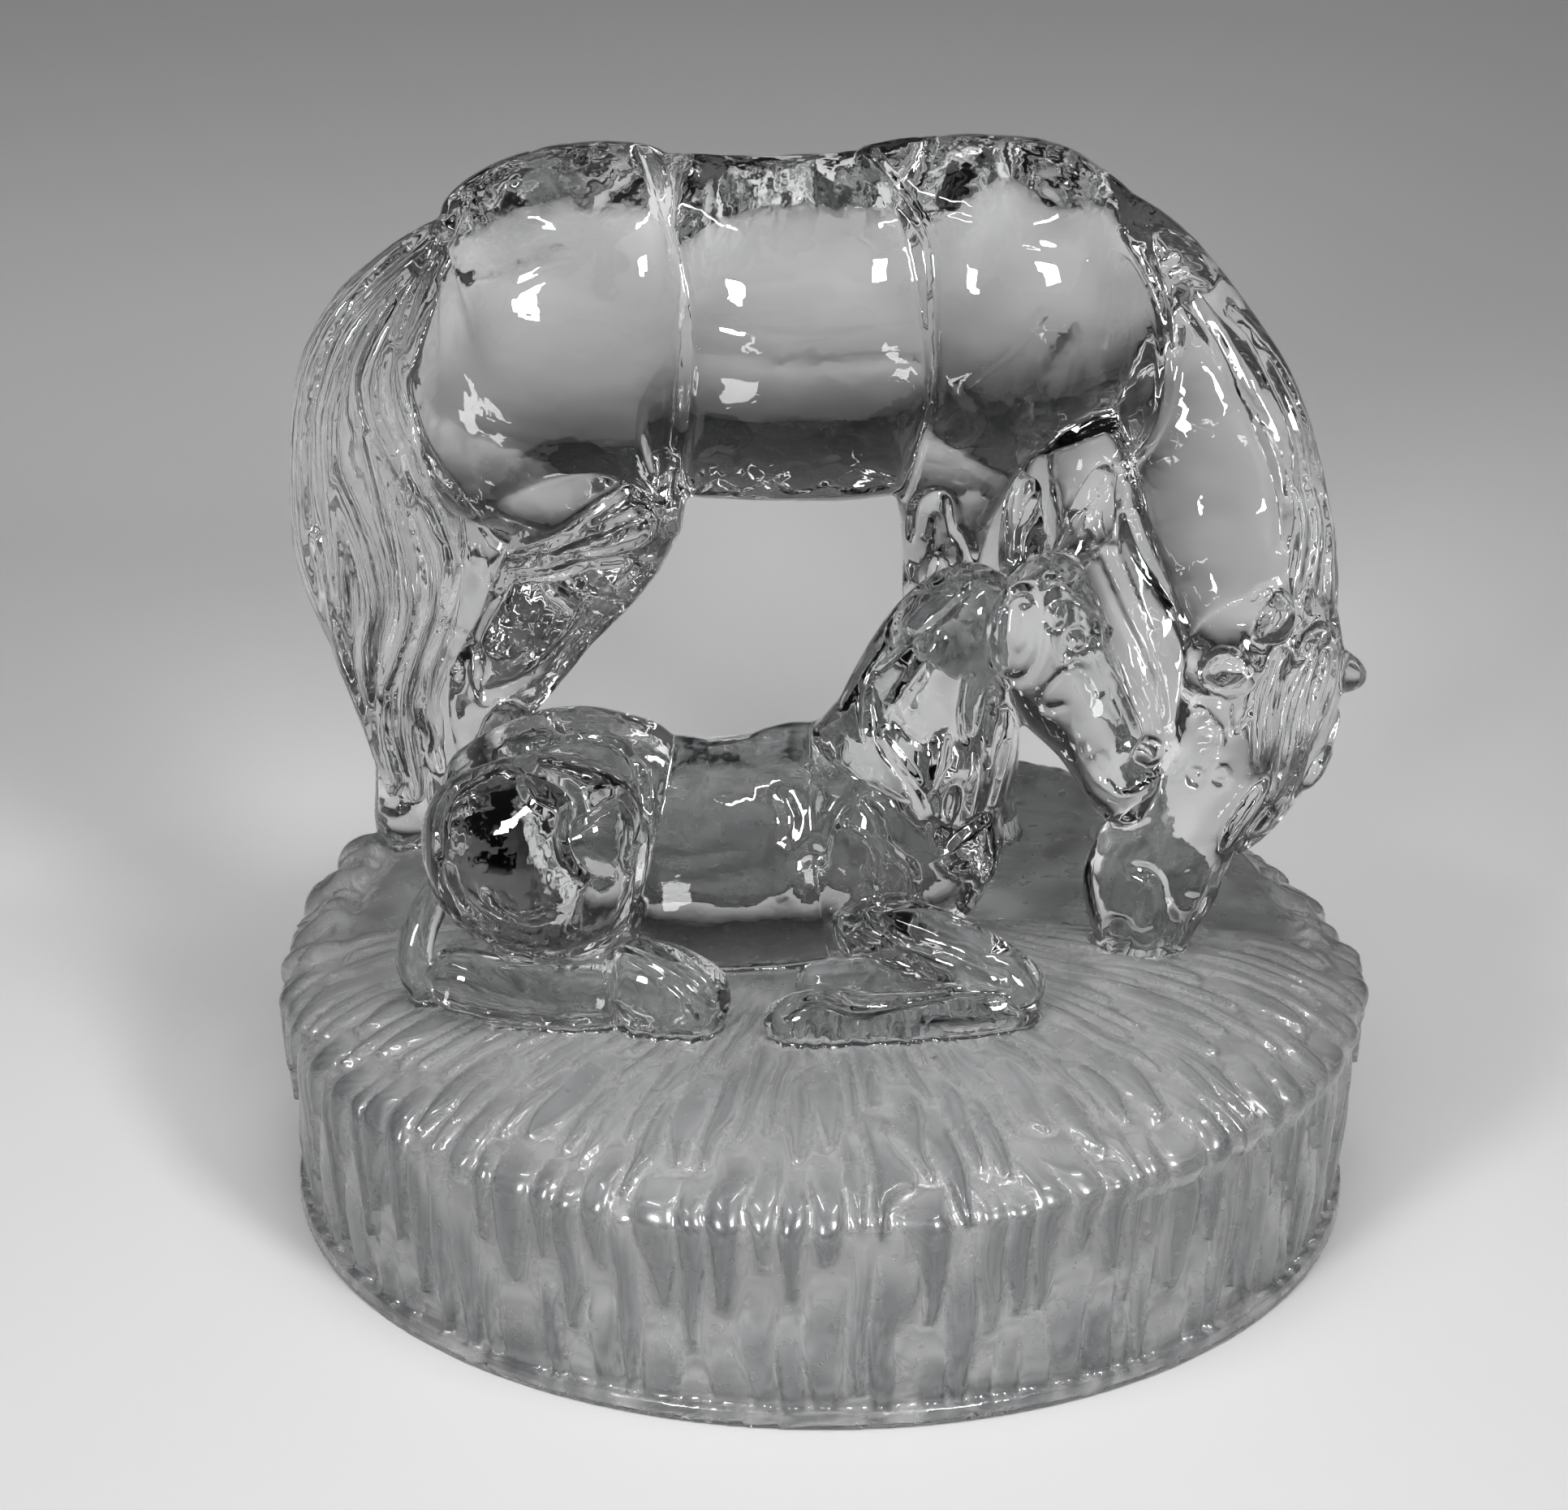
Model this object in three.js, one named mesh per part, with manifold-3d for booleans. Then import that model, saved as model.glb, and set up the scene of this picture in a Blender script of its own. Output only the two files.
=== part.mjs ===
// A pressed crystal figurine: a mare bends her neck down to the foal that lies in front of her,
// and both are one piece with the round tuft of grass they rest on. Millimetres, +Z up, the mare
// faces +X, and the origin is the middle of the flat underside.
import * as THREE from 'three';
import Module from 'manifold-3d';
import { LoftGeometry } from 'three/addons/geometries/LoftGeometry.js';
import { mergeVertices } from 'three/addons/utils/BufferGeometryUtils.js';

const wasm = await Module();
wasm.setup();

// the grassy base
const footWidth = 124;
const footHeight = 1.8;
const shoulderWidth = 128.4;
const shoulderHeight = 24;
const turfHeight = 33.5;
const edgeRound = 24;
const tuftWidth = 8;
const tuftDepth = 1;
const rearSwell = 2;
const rearTurn = THREE.MathUtils.degToRad(150);

// the horses, from the turf to the mare's croup
const mareHeight = 90;

// Stations are [x, y, z, across, deep]. x and y are shares of the foot's half width, so that the
// group fills its base, and z, across and deep are shares of the mare's height, all in percent.
const place = (x, y, z) => new THREE.Vector3(
  x * footWidth / 200,
  y * footWidth / 200,
  turfHeight + z * mareHeight / 100,
);
const thick = (share) => share * mareHeight / 100;

function solid(geometry) {
  const bare = new THREE.BufferGeometry();
  bare.setAttribute('position', geometry.attributes.position);
  bare.setIndex(geometry.index);
  const merged = mergeVertices(bare, 1e-4);
  return new wasm.Manifold(new wasm.Mesh({
    numProp: 3,
    vertProperties: new Float32Array(merged.attributes.position.array),
    triVerts: new Uint32Array(merged.index.array),
  }));
}

// A round-ended limb through its stations. Its sections are ellipses square to the middle line,
// as wide along side as their station's across, and relief(angle, along) can swell them into locks.
const depthwise = new THREE.Vector3(0, 1, 0);
const lengthwise = new THREE.Vector3(1, 0, 0);
function limb(stations, { sides = 12, rings = 10, relief = () => 1, side = depthwise } = {}) {
  const roundEnd = 0.7 / (stations.length - 1);
  const bluntest = 0.15;
  const middle = new THREE.CatmullRomCurve3(stations.map(([x, y, z]) => place(x, y, z)));
  const girth = new THREE.CatmullRomCurve3(
    stations.map(([, , , across, deep]) => new THREE.Vector3(thick(across), thick(deep), 0)),
    false, 'catmullrom', 0.5,
  );
  const sections = [];
  for (let i = 0; i <= rings; i++) {
    const t = (1 - Math.cos(Math.PI * i / rings)) / 2;
    const centre = middle.getPoint(t);
    const along = middle.getTangent(t);
    const across = side.clone().addScaledVector(along, -side.dot(along)).normalize();
    const deep = new THREE.Vector3().crossVectors(along, across);
    const fromTip = Math.min(1, Math.min(t, 1 - t) / roundEnd);
    const tip = Math.max(bluntest, Math.sqrt(1 - (1 - fromTip) ** 2));
    const { x: a, y: b } = girth.getPoint(t);
    sections.push(Array.from({ length: sides }, (_, k) => {
      const angle = 2 * Math.PI * k / sides;
      const swell = tip * relief(angle, t);
      return centre.clone()
        .addScaledVector(across, a * swell * Math.cos(angle))
        .addScaledVector(deep, b * swell * Math.sin(angle));
    }));
  }
  return solid(new LoftGeometry(sections, { closed: true, capStart: true, capEnd: true }));
}

// The base is turned from one profile, and then its wall and the edge of the turf are drawn
// into upright tufts of grass, fuller at the rear under the tail. The foot below stays round.
function base() {
  const foot = footWidth / 2;
  const wall = (shoulderWidth - tuftDepth) / 2;
  const footStep = 0.6;
  const profile = [
    [0, 0],
    [foot, 0],
    [foot, footHeight],
    [foot - tuftDepth, footHeight + footStep],
    [wall, shoulderHeight],
  ];
  for (const share of [0.25, 0.55, 1]) {
    const turn = share * Math.PI / 2;
    profile.push([
      wall - edgeRound * (1 - Math.cos(turn)),
      shoulderHeight + (turfHeight - shoulderHeight) * Math.sin(turn),
    ]);
  }
  profile.push([0, turfHeight]);
  const tufts = Math.round(Math.PI * shoulderWidth / tuftWidth);
  const lathe = new THREE.LatheGeometry(profile.map(([r, z]) => new THREE.Vector2(r, z)), 2 * tufts);
  lathe.rotateX(Math.PI / 2);
  const point = lathe.attributes.position;
  for (let i = 0; i < point.count; i++) {
    const [x, y, z] = [point.getX(i), point.getY(i), point.getZ(i)];
    const radius = Math.hypot(x, y);
    if (z < footHeight + footStep / 2 || radius < wall - edgeRound / 2) continue;
    const turn = Math.atan2(y, x);
    const swell = z > shoulderHeight ? rearSwell * Math.max(0, Math.cos(2 * (turn - rearTurn))) : 0;
    const wave = tuftDepth / 2 * Math.cos(tufts * turn);
    point.setX(i, x * (1 + (wave + swell) / radius));
    point.setY(i, y * (1 + (wave + swell) / radius));
  }
  return solid(lathe);
}

// barrel with the creases in front of the haunch and behind the shoulder
function mareTrunk() {
  return limb([
    [-80, 34, 67, 7, 11],
    [-72, 34, 66.5, 12, 17.5],
    [-60, 34, 68, 16, 23.5],
    [-46, 34, 71.5, 18, 26.4],
    [-32, 34, 74.5, 16.5, 24],
    [-25, 34, 74, 15, 22.7],
    [-10, 34, 73.6, 17, 23.3],
    [4, 34, 74, 17, 23.5],
    [14, 34, 75, 15, 23.5],
    [28, 33, 77.5, 18, 23.5],
    [44, 32, 77.5, 17.5, 21],
    [58, 30, 76, 13, 15],
    [67, 29, 75, 8, 9],
  ], { sides: 18, rings: 20 });
}

function mareHindLegs() {
  const near = limb([
    [-50, 27, 64, 13, 19],
    [-43, 26, 50, 10.5, 11.5],
    [-53, 26, 36, 7.8, 7.8],
    [-62, 27, 25, 5.5, 6.4],
    [-64, 27, 19, 4.8, 5],
    [-63, 27, 11, 4.6, 3.6],
    [-62, 27, 4, 4.6, 4],
    [-60, 27, -4, 5, 5],
  ], { sides: 10, rings: 12 });
  const far = limb([
    [-56, 42, 66, 11, 16],
    [-56, 42, 50, 9, 11],
    [-61, 42, 36, 7, 8],
    [-69, 41, 26, 5.4, 6],
    [-71, 40, 19, 4.8, 4.6],
    [-71, 40, 11, 4.8, 3.6],
    [-70, 40, 4, 4.8, 4],
    [-67, 40, -4, 5, 5],
  ], { sides: 10, rings: 11 });
  return near.add(far);
}

function mareForelegs() {
  const near = limb([
    [26, 26, 66, 10, 13],
    [23, 26, 50, 6.5, 6.2],
    [22, 26, 36, 5.2, 4.8],
    [22, 26, 22, 4.8, 4.2],
    [22, 26, 10, 4.6, 3.8],
    [23, 26, -4, 5, 5],
  ], { sides: 10, rings: 10 });
  const far = limb([
    [32, 41, 66, 10, 13],
    [29, 41, 50, 6.5, 7],
    [30, 40, 34, 5.2, 5.4],
    [31, 39, 22, 5, 5],
    [31.5, 39, 12, 4.8, 4.4],
    [31.5, 39, 4, 4.8, 4.4],
    [32, 39, -4, 5.2, 5.2],
  ], { sides: 10, rings: 11 });
  return near.add(far);
}

// the tail hangs against the haunch in wavy locks and spreads where it meets the turf
function mareTail() {
  const locks = 8;
  return limb([
    [-68, 34, 89, 3, 2.4],
    [-75.5, 34, 83.5, 5, 2.8],
    [-82.3, 34, 79, 7, 5.4],
    [-86.8, 34, 72, 8.5, 6.8],
    [-89, 34, 63, 9.5, 8],
    [-88, 34, 53, 10, 10],
    [-85.5, 35, 43, 10, 11],
    [-84.5, 36, 34, 9, 9.6],
    [-83, 38, 25, 8, 7.6],
    [-81.5, 40, 16, 6.6, 5.2],
    [-80.5, 42, 7, 6, 4.5],
    [-79, 44, -4, 7, 6.5],
  ], {
    sides: 3 * locks,
    rings: 15,
    relief: (angle, t) => 1 + 0.07 * Math.cos(locks * (angle + 0.5 * Math.sin(5 * t))),
  });
}

function mareNeck() {
  return limb([
    [34, 33, 78, 15, 19],
    [51, 31, 80, 13, 15.5],
    [64, 26, 74, 11, 12.6],
    [71.5, 18, 64.5, 9.5, 12.8],
    [75.5, 9, 55, 9, 12.9],
    [79, 0, 46, 8.5, 11.7],
    [81, -6, 38, 8, 9],
  ], { sides: 12, rings: 12 });
}

function mareHead() {
  return limb([
    [83, -5, 48, 7, 8],
    [81.5, -9, 41, 8.5, 9.8],
    [78.5, -11, 33, 8, 9.6],
    [74, -13, 26, 6.6, 8],
    [67, -13, 18.5, 6, 8],
    [62.5, -13, 10, 5.8, 8],
    [61, -13, 3.5, 4.8, 6.4],
    [61, -13, -3, 4, 4.5],
  ], { sides: 12, rings: 14 });
}

// mane and forelock falling over the poll, and the two ears laid back on it
function mareManeAndEars() {
  const locks = 4;
  const forelock = limb([
    [83, 8, 57, 4, 5],
    [88, -1, 47, 4.6, 4.6],
    [91, -7, 38, 4.6, 4.6],
    [89.5, -9, 31, 4.4, 4],
    [84.5, -11, 23, 3.8, 3.2],
    [76, -13, 14, 2.4, 1.8],
  ], { sides: 3 * locks, rings: 10, relief: (angle, t) => 1 + 0.08 * Math.cos(locks * angle + 4 * t) });
  const tuft = limb([
    [90, -6, 39.5, 3, 3],
    [96, -7, 38, 2.6, 2.8],
    [101, -7, 37, 1.5, 1.6],
  ], { sides: 8, rings: 6 });
  const nearEar = limb([
    [81, -17, 46, 1.4, 1.6],
    [83, -18.5, 48.5, 2, 2.2],
    [84.5, -16, 52, 1.2, 1.3],
  ], { sides: 8, rings: 7 });
  const farEar = limb([
    [88, -13, 43, 1.4, 1.6],
    [90, -13.5, 46, 1.8, 2],
    [92, -11, 49.5, 1.1, 1.2],
  ], { sides: 8, rings: 7 });
  return forelock.add(tuft).add(nearEar).add(farEar);
}

function foalTrunk() {
  return limb([
    [-70, -13, 15, 8, 10],
    [-62, -14, 16, 11, 13.5],
    [-49, -14, 17, 14, 16.5],
    [-36, -13, 16, 13, 15.5],
    [-22, -13, 13.8, 13, 15],
    [-10, -13, 14.5, 13, 15.5],
    [2, -13, 16.5, 13.5, 16.5],
    [13, -14, 16.5, 12.5, 15.5],
    [24, -14, 19.5, 9.5, 11],
    [33, -14, 21, 6, 7],
  ], { sides: 14, rings: 16 });
}

function foalNeckAndHead() {
  const neck = limb([
    [11, -15, 20, 10, 15],
    [18, -15, 30, 9.5, 12.5],
    [22, -14, 39.5, 8, 10.5],
    [27.5, -13, 46, 7, 8.6],
    [36, -12, 49, 5, 6],
  ], { sides: 14, rings: 12 });
  const head = limb([
    [34, -12, 52, 5, 5.5],
    [39.5, -12.5, 48.5, 6.5, 7.6],
    [41.5, -13, 42.5, 6.8, 8.2],
    [45, -13.5, 37.5, 6, 7.4],
    [50, -14, 32, 4.8, 6],
    [54, -14.5, 27, 4.4, 5.4],
    [57, -15, 23, 4.4, 5],
    [58.5, -15, 19, 3, 3.4],
  ], { sides: 12, rings: 14 });
  const leftEar = limb([
    [35, -8, 50, 2.4, 2.6],
    [36.5, -1, 56, 2.4, 2.8],
    [37, 8, 61, 1.4, 1.8],
  ], { sides: 8, rings: 7 });
  const rightEar = limb([
    [43, -9, 51, 2.4, 2.6],
    [46.5, -2, 57, 2.4, 2.8],
    [49, 7, 62.5, 1.4, 1.8],
  ], { sides: 8, rings: 7 });
  return neck.add(head).add(leftEar).add(rightEar);
}

// the hind leg folded under the rump, with the small tail beside it
function foalHindquarter() {
  const thigh = limb([
    [-73, -27, 18, 6, 8],
    [-63, -30, 19, 8.5, 12],
    [-53, -31, 19, 9.5, 14],
    [-42, -30, 18.5, 8.5, 12.5],
    [-34, -27, 17.5, 6, 8],
  ], { sides: 12, rings: 12 });
  const shank = limb([
    [-73, -40, 6, 4, 4.5],
    [-60, -43, 4.4, 4, 4.4],
    [-47, -44, 3.6, 3.8, 4.2],
    [-37, -44, 4, 4.2, 4.6],
  ], { sides: 10, rings: 10 });
  const hoof = limb([
    [-41, -42, 5.6, 3.6, 4.4],
    [-33, -44, 5.2, 5, 6.4],
    [-25, -45, 4, 5.2, 6],
    [-17, -46, 3, 3.4, 4],
  ], { sides: 10, rings: 9 });
  const tail = limb([
    [-69, -22, 14, 2.2, 2.2],
    [-74, -27, 9, 2.4, 2.4],
    [-76, -30, 3.5, 2.4, 2.4],
    [-72, -32, -2, 2, 2],
  ], { sides: 8, rings: 9 });
  return thigh.add(shank).add(hoof).add(tail);
}

// both forelegs folded, the near one in front and the far one above and behind it
function foalForelegs() {
  const forearm = limb([
    [3, -28, 9, 5, 5.6],
    [16, -35, 9, 5, 5.2],
    [27, -40, 7.6, 4.6, 4.8],
    [35, -43, 5, 4.2, 4.4],
    [40, -44, 3.2, 3.4, 3.4],
  ], { sides: 12, rings: 12 });
  const nearShank = limb([
    [40, -44, 3, 3.6, 3.6],
    [25, -47, 2.4, 3.4, 3.4],
    [10, -48, 2.2, 3.2, 3.2],
    [0, -48, 2.4, 3.8, 3.8],
    [-11, -49, 1.8, 3, 2.8],
  ], { sides: 10, rings: 12 });
  const farShank = limb([
    [36, -38, 5, 3.4, 3.4],
    [20, -40, 5, 3.2, 3.2],
    [6, -41, 4.8, 3.2, 3.2],
    [-5, -41, 4.2, 3.4, 3.6],
  ], { sides: 10, rings: 10 });
  return forearm.add(nearShank).add(farShank);
}

// glass left between the two figures where the mould could not part them
function bridges() {
  const faces = limb([
    [49, 10, 66, 5, 7],
    [54, 4, 54, 5, 8.5],
    [60, -4, 42, 4.5, 6.5],
    [63, -11, 30, 4, 5],
    [62, -14, 24, 3, 4],
  ], { sides: 10, rings: 8 });
  const [rump, shoulder, chest] = [
    [[-54, -14, 18, 7, 12], [-58, 8, 15, 6, 12], [-62, 27, 13, 4, 10]],
    [[16, -14, 26, 8, 14], [20, 8, 24, 6, 14], [23, 26, 22, 4.4, 12]],
    [[39, -8, 49, 3.6, 5], [40, 8, 53, 3.6, 5], [42, 24, 60, 5, 7]],
  ].map((stations) => limb(stations, { sides: 8, rings: 6, side: lengthwise }));
  return faces.add(rump).add(shoulder).add(chest);
}

const crystal = new THREE.MeshStandardMaterial({ color: 0xe9eef0, roughness: 0.04, metalness: 0 });
crystal.transparent = true;
crystal.opacity = 0.35;

const whole = [
  mareTrunk(), mareHindLegs(), mareForelegs(), mareTail(), mareNeck(), mareHead(), mareManeAndEars(),
  foalTrunk(), foalNeckAndHead(), foalHindquarter(), foalForelegs(), bridges(),
].reduce((sum, piece) => sum.add(piece), base());

const { vertProperties, triVerts } = whole.getMesh();
const geometry = new THREE.BufferGeometry();
geometry.setAttribute('position', new THREE.BufferAttribute(vertProperties, 3));
geometry.setIndex(new THREE.BufferAttribute(triVerts, 1));
geometry.computeVertexNormals();

const figurine = new THREE.Mesh(geometry, crystal);
figurine.name = 'mare_and_foal';

const group = new THREE.Group();
group.add(figurine);

export default group;
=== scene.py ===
import bmesh
import bpy
from math import atan2, cos, floor, hypot, pi, radians, sin, sqrt, tau
from mathutils import Matrix, Vector, noise
from mathutils.bvhtree import BVHTree
from mathutils.kdtree import KDTree


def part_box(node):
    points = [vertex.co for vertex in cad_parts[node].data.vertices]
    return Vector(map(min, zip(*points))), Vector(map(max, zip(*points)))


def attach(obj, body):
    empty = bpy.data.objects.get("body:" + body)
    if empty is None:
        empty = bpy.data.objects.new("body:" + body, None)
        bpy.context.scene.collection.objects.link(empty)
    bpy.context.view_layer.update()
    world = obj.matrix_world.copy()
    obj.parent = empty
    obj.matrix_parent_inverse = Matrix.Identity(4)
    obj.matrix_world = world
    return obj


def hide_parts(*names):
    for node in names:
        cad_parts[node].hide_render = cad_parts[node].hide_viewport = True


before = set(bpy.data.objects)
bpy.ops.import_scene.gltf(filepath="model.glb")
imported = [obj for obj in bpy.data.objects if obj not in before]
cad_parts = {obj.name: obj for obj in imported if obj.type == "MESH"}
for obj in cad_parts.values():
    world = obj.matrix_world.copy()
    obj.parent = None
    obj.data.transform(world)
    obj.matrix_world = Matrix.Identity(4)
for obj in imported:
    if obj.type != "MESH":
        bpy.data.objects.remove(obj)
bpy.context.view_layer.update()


# The base is a round cake of crystal, pressed in a ribbed mould so that its wall stands as
# blades of grass. A plain foot rim runs round its underside, and the turf on top is domed a
# little. It is turned plain here, and the grass is pressed into it once it is one with the horses.
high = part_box("mare_and_foal")[1]
shoulder_radius = high[1]
foot_radius = shoulder_radius - 0.0021
foot_rise = 0.0018
foot_step = 0.0007
shoulder_rise = 0.024
turf_rise = 0.0335
edge_round = 0.024
wall_steps = 12
wall_bulge = 0.8
dome_steps = 30
softenings = 6
turns = 240
least_gap = 0.00001

profile = [(0.0, 0.0), (foot_radius, 0.0), (foot_radius, foot_rise)]
wall_foot = foot_radius - foot_step
for step in range(wall_steps + 1):
    share = step / wall_steps
    profile.append((
        wall_foot + (shoulder_radius - wall_foot) * share ** wall_bulge,
        foot_rise + foot_step + (shoulder_rise - foot_rise - foot_step) * share,
    ))
for step in range(1, dome_steps + 1):
    turn = step / dome_steps * pi / 2
    profile.append((
        shoulder_radius - edge_round * (1 - cos(turn)),
        shoulder_rise + (turf_rise - shoulder_rise) * sin(turn),
    ))
profile.append((0.0, turf_rise))
for softening in range(softenings):
    soft = [
        ((a[0] + 2 * b[0] + c[0]) / 4, (a[1] + 2 * b[1] + c[1]) / 4)
        for a, b, c in zip(profile[3:], profile[4:], profile[5:])
    ]
    profile[4:-1] = soft

turf = bmesh.new()
corners = [turf.verts.new((radius, 0, rise)) for radius, rise in profile]
edges = [turf.edges.new(pair) for pair in zip(corners, corners[1:])]
bmesh.ops.spin(turf, geom=corners + edges, cent=(0, 0, 0), axis=(0, 0, 1), angle=tau, steps=turns, use_merge=True)
bmesh.ops.remove_doubles(turf, verts=turf.verts, dist=least_gap)
bmesh.ops.recalc_face_normals(turf, faces=turf.faces)
turf_tree = BVHTree.FromBMesh(turf)


# The two horses are drawn as limbs: each runs through a few stations, [along x, along y, height,
# width, depth]. The places are shares of the foot's half width and the rest are shares of the
# mare's height from the turf to her withers, all in percent, as in the solid they stand for.
mare_height = high[2] - turf_rise
place_unit = foot_radius / 100
form_unit = mare_height / 100
look_ahead = 0.004
smallest_end = 0.12


def on_figure(x, y, z):
    return Vector((x * place_unit, y * place_unit, turf_rise + z * form_unit))


def through(stations, share):
    spans = len(stations) - 1
    first = min(max(int(share * spans), 0), spans - 1)
    t = share * spans - first
    near = [stations[min(max(first + step, 0), spans)] for step in (-1, 0, 1, 2)]
    return [
        0.5 * (2 * b + (c - a) * t + (2 * a - 5 * b + 4 * c - d) * t * t + (3 * b - a - 3 * c + d) * t ** 3)
        for a, b, c, d in zip(*near)
    ]


def limb(stations, sides=28, rings=36, side=(0, 1, 0), blunt=0.7):
    form = bmesh.new()
    reach = blunt / (len(stations) - 1)
    before = None
    for ring in range(rings + 1):
        share = (1 - cos(pi * ring / rings)) / 2
        x, y, z, width, depth = through(stations, share)
        ahead = on_figure(*through(stations, min(share + look_ahead, 1))[:3])
        behind = on_figure(*through(stations, max(share - look_ahead, 0))[:3])
        along = (ahead - behind).normalized()
        across = Vector(side)
        across = (across - across.dot(along) * along).normalized()
        down = along.cross(across)
        from_tip = min(1, min(share, 1 - share) / reach)
        tip = max(smallest_end, sqrt(1 - (1 - from_tip) ** 2))
        centre = on_figure(x, y, z)
        lay = Matrix((across * width, down * depth, along)).transposed() * (tip * form_unit)
        lay = Matrix.Translation(centre) @ lay.to_4x4()
        circle = bmesh.ops.create_circle(
            form, segments=sides, radius=1, cap_ends=ring in (0, rings), matrix=lay,
        )["verts"]
        loop = list({edge for corner in circle for edge in corner.link_edges})
        if before:
            bmesh.ops.bridge_loops(form, edges=before + loop)
        before = loop
    bmesh.ops.recalc_face_normals(form, faces=form.faces)
    return form


# The mare stands behind, all body: a round haunch, a barrel and a deep shoulder, pressed so that
# each swells over the next and leaves a crease all the way round between them.
haunch = limb([
    [-80, 34, 67, 7, 11],
    [-72, 34, 66, 12.5, 17],
    [-60, 34, 67, 16.8, 22.6],
    [-47, 34, 71.6, 18.6, 26],
    [-37, 34, 74.2, 17.8, 24.7],
    [-29.5, 34, 74.4, 15.2, 21],
    [-22, 34, 74, 9, 11.5],
], sides=64, rings=48)
barrel = limb([
    [-42, 34, 74, 7, 15],
    [-34, 34, 74, 10.6, 22.4],
    [-26, 34, 73.8, 14.2, 23.2],
    [-17, 34, 73.6, 16.6, 23],
    [-6, 34, 73.6, 17.6, 23.2],
    [5, 34, 74, 17.6, 23.2],
    [13, 34, 74.8, 16.4, 22.6],
    [20, 34, 75, 13.6, 17],
    [26, 34, 75, 8, 8],
], sides=64, rings=48)
shoulder = limb([
    [0, 34, 75.2, 6.5, 14],
    [8, 34, 75.2, 10.6, 21.8],
    [15, 34, 75.8, 13, 23.4],
    [22, 33.8, 76.2, 15.6, 23.4],
    [30, 33.3, 76.6, 18, 23.2],
    [38, 33, 77, 18.2, 22.3],
    [46, 32, 76.6, 17, 19.8],
    [57, 30.5, 75.6, 13.6, 14.8],
    [66, 29.5, 75, 8.5, 9],
], sides=64, rings=48)
hind_legs = [
    limb([
        [-50, 27, 64, 13, 19],
        [-43, 26, 50, 10.5, 11.5],
        [-53, 26, 36, 7.8, 7.8],
        [-62, 27, 25, 5.5, 6.4],
        [-64, 27, 19, 4.8, 5],
        [-63, 27, 11, 4.6, 3.6],
        [-62, 27, 4, 4.6, 4],
        [-60, 27, -4, 5, 5],
    ]),
    limb([
        [-56, 42, 66, 11, 16],
        [-56, 42, 50, 9, 11],
        [-61, 42, 36, 7, 8],
        [-69, 41, 26, 5.4, 6],
        [-71, 40, 19, 4.8, 4.6],
        [-71, 40, 11, 4.8, 3.6],
        [-70, 40, 4, 4.8, 4],
        [-67, 40, -4, 5, 5],
    ]),
]
forelegs = [
    limb([
        [26, 26, 66, 10, 13],
        [23, 26, 50, 6.5, 6.2],
        [22, 26, 36, 5.2, 4.8],
        [22, 26, 22, 4.8, 4.2],
        [22, 26, 10, 4.6, 3.8],
        [23, 26, -4, 5, 5],
    ]),
    limb([
        [32, 41, 66, 10, 13],
        [29, 41, 50, 6.5, 7],
        [30, 40, 34, 5.2, 5.4],
        [31, 39, 22, 5, 5],
        [31.5, 39, 12, 4.8, 4.4],
        [31.5, 39, 4, 4.8, 4.4],
        [32, 39, -4, 5.2, 5.2],
    ]),
]


# Her tail hangs against the haunch in long wavy locks and spreads a little on the turf.
tail = limb([
    [-67, 34, 88.4, 3, 2.6],
    [-74, 34, 83, 5, 3],
    [-80.4, 34, 77.6, 7, 6],
    [-85, 34, 71, 8.5, 8],
    [-86.5, 34, 63, 9.5, 9.2],
    [-86.2, 34, 53, 10, 10.6],
    [-85, 35, 43, 10, 11],
    [-83.4, 36, 34, 9, 9.4],
    [-81.8, 38, 25, 7.6, 7],
    [-81, 40, 16, 6.2, 4.8],
    [-80.5, 42, 7, 5.6, 4.2],
    [-79, 44, -4, 7, 6.5],
], sides=48, rings=48)


# The neck arches down towards the front, with the mane lying on its crest as a raised band.
neck_path = [
    [34, 33, 78, 15, 19],
    [51, 31, 78.8, 13, 14.4],
    [63.4, 26, 73, 11, 12.2],
    [71.5, 18, 64.5, 9.5, 12.8],
    [75.5, 9, 55, 9, 12.9],
    [79, 0, 46, 8.5, 11.7],
    [81, -6, 38, 8, 9],
]
neck = limb(neck_path, sides=48, rings=48)
mane = limb([
    [47, 31.5, 88, 4, 3],
    [57, 29.5, 84, 6.5, 4.2],
    [67.4, 26, 78, 8, 4.8],
    [76.2, 19, 68.6, 8.2, 5.3],
    [82.5, 10, 58.5, 8, 5.8],
    [86, 1, 48.5, 7.4, 5.6],
    [86.5, -5, 41, 6, 5],
], sides=40, rings=40)
head = limb([
    [83, -5, 48, 7, 8],
    [81.5, -9, 41, 8.5, 9.8],
    [78.5, -11, 33, 8, 9.6],
    [74, -13, 26, 6.6, 8],
    [67, -13, 18.5, 6, 8],
    [61.6, -13, 10.5, 6, 8.8],
    [60, -13, 4, 5, 7],
    [60, -13, -3, 4, 4],
], sides=40, rings=50)
forelock = limb([
    [83, 8, 57, 4, 5],
    [88, -1, 47, 4.6, 4.6],
    [90.4, -7, 38, 4.6, 4.4],
    [88.4, -9, 31, 4.4, 4],
    [84.5, -11, 23, 3.8, 3.2],
    [76, -13, 14, 2.4, 1.8],
], sides=40, rings=40)
tuft = limb([[90, -6, 39.5, 3, 3], [96, -7, 38, 2.6, 2.8], [101, -7, 37, 1.5, 1.6]], rings=16)
mare_ears = [
    limb([[81, -17, 46, 1.4, 1.6], [83, -18.5, 48.5, 2, 2.2], [84.5, -16, 52, 1.2, 1.3]], rings=16),
    limb([[88, -13, 43, 1.4, 1.6], [90, -13.5, 46, 1.8, 2], [92, -11, 49.5, 1.1, 1.2]], rings=16),
]


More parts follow.
